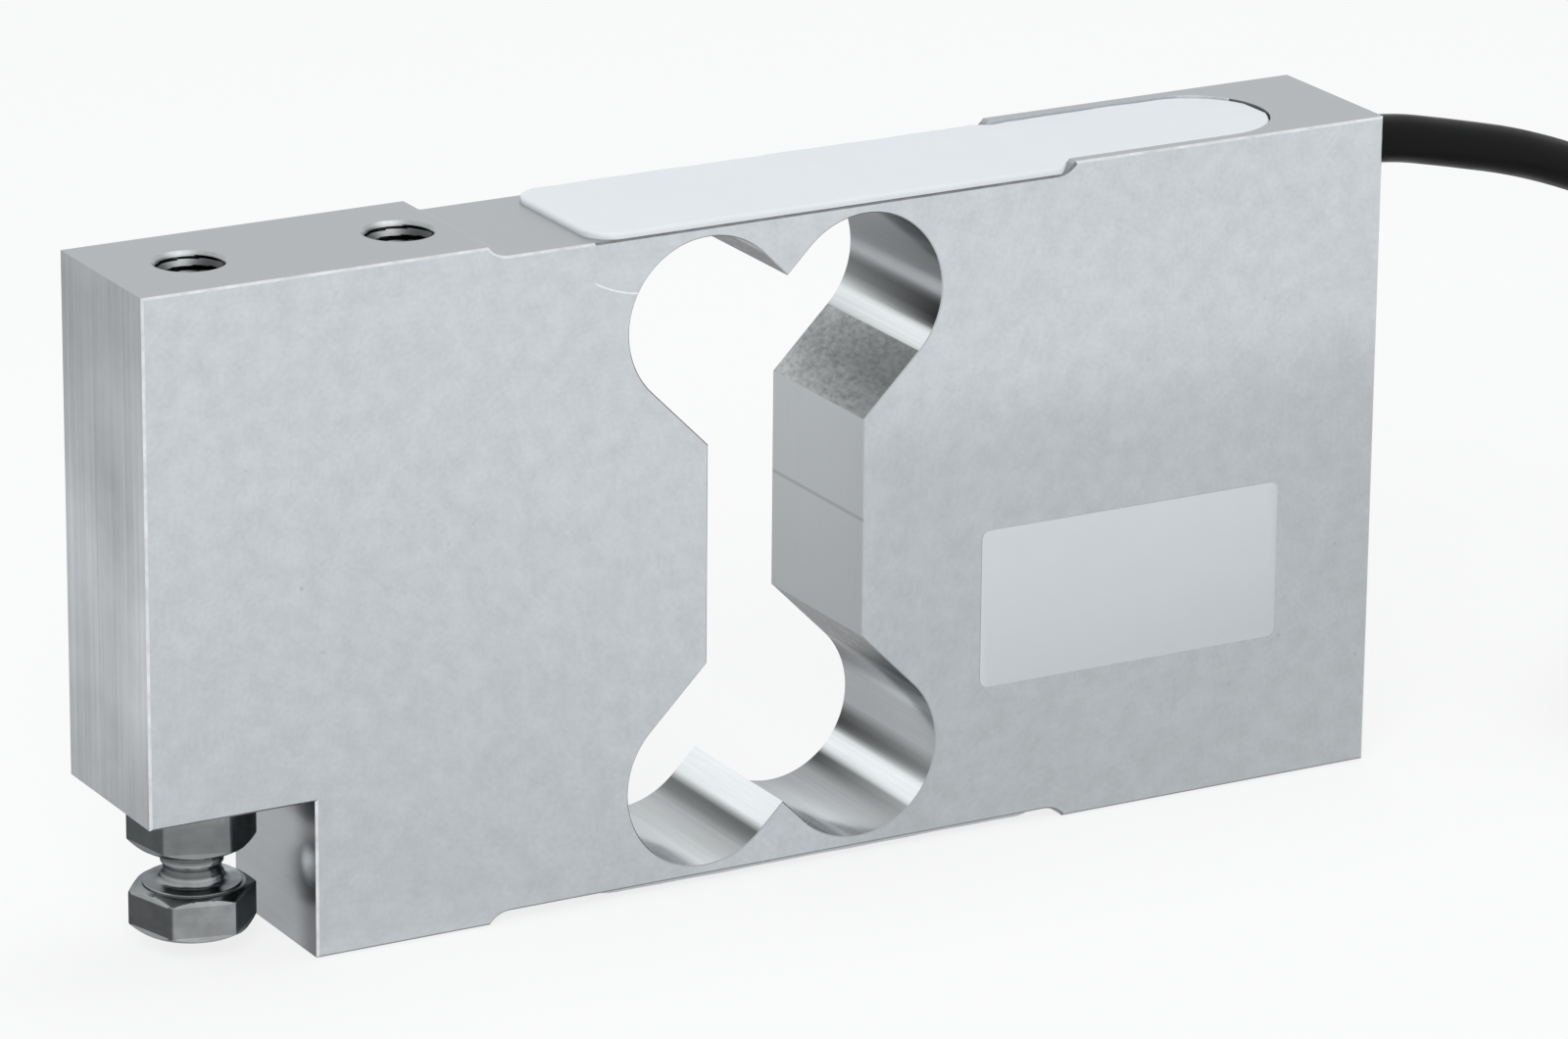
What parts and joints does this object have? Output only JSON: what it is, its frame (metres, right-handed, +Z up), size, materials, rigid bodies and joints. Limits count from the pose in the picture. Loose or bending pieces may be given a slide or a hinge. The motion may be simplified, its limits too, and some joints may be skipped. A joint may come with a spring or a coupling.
{
  "type": "single point load cell",
  "caption": "Single point load cell: milled aluminium beam with a bone-shaped opening, sealed gauges, tapped mounting holes, overload stop screw and a free cable.",
  "frame": {"origin": "middle of the base plane, under the middle of the block", "axes": "+X from the load end to the cable end, +Y from the front face to the back face, +Z up, the way the load end's holes open"},
  "size_m": [0.3021, 0.0543, 0.075],
  "materials": {
    "block_aluminium": "fine milled, matte",
    "stop_steel": "zinc plated steel, satin",
    "sealant_white": "cured silicone, satin",
    "label_film": "blank printed film",
    "gauge_film": "polyimide film with foil grid",
    "terminal_copper": "tinned copper pads",
    "board_green": "coated circuit board",
    "resistor_body": "chip resistor",
    "solder": "solder, dull",
    "cable_jacket": "smooth flexible jacket, satin",
    "insulation_red": "core insulation",
    "insulation_black": "core insulation",
    "insulation_green": "core insulation",
    "insulation_white": "core insulation",
    "insulation_clear": "shield sleeve",
    "tinned_copper": "tinned strands",
    "tie_strap": "woven strap"
  },
  "bodies": {
    "root": {"load_cell_body": "block_aluminium", "overload_stop_bolt": "stop_steel", "stop_lock_nut": "stop_steel", "rating_label": "label_film", "gauge_top_load": "gauge_film", "gauge_top_fixed": "gauge_film", "gauge_bottom_load": "gauge_film", "gauge_bottom_fixed": "gauge_film", "gauge_terminals_top": "terminal_copper", "gauge_terminals_bottom": "terminal_copper", "gauge_leads_top": "insulation_clear", "gauge_leads_bottom": "insulation_clear", "bridge_board": "board_green", "trim_resistors": "resistor_body", "board_joints": "solder", "cable_inner_end": "cable_jacket", "inner_core_red": "insulation_red", "inner_core_black": "insulation_black", "inner_drain_wire": "tinned_copper", "inner_core_green": "insulation_green", "inner_core_white": "insulation_white", "top_sealant": "sealant_white", "bottom_sealant": "sealant_white", "cable_hank": "cable_jacket", "cable_lead": "cable_jacket", "cable_tail": "cable_jacket", "hank_ties": "tie_strap", "cable_end_sleeve": "cable_jacket", "end_core_red": "insulation_red", "end_core_black": "insulation_black", "end_shield_lead": "insulation_clear", "end_core_green": "insulation_green", "end_core_white": "insulation_white", "end_core_tips": "tinned_copper"}
  },
  "joints": []
}
